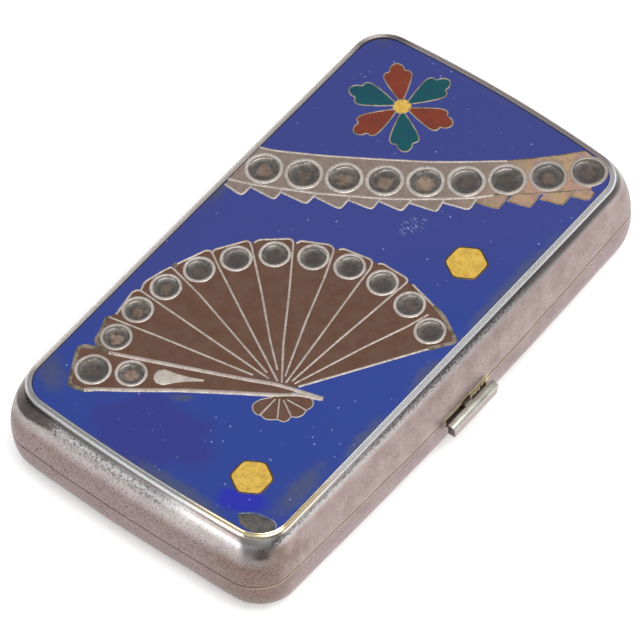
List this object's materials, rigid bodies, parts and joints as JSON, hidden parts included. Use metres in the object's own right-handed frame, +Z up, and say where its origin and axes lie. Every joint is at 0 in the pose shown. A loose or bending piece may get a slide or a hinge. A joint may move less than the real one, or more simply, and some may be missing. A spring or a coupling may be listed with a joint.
{
  "type": "enamelled needle case",
  "caption": "Flat hinged pocket case in worn white metal, with an enamelled fan and flower panel and empty stone settings on its lid.",
  "frame": {"origin": "middle of the underside of the closed case, at the centre of its overall box", "axes": "+Z up through the lid, +Y along the length towards the flower end, +X across from the hinge side to the thumb piece"},
  "size_m": [0.0584, 0.0954, 0.017],
  "materials": {
    "base_metal": "worn silver plate over white metal, finely pitted",
    "lid_metal": "worn silver plate over white metal, finely pitted",
    "enamel": "glossy fired enamel between thin metal wires",
    "pin_metal": "plain drawn wire",
    "thumb_metal": "smooth worn silver plate"
  },
  "bodies": {
    "base": {"base_shell": "base_metal", "hinge_pin": "pin_metal"},
    "lid": {"lid_shell": "lid_metal", "enamel_panel": "enamel"},
    "catch": {"thumb_piece": "thumb_metal"}
  },
  "joints": [
    {"name": "lid_hinge", "type": "hinge", "parent": "base", "child": "lid", "pos_m": [-0.02795, 0, 0.0084], "axis": [0, -1, 0], "range_deg": [0, 170]},
    {"name": "thumb_press", "type": "slide", "parent": "base", "child": "catch", "axis": [-1, 0, 0], "range_m": [0, 0.0005], "stiffness_N_per_m": 500}
  ]
}
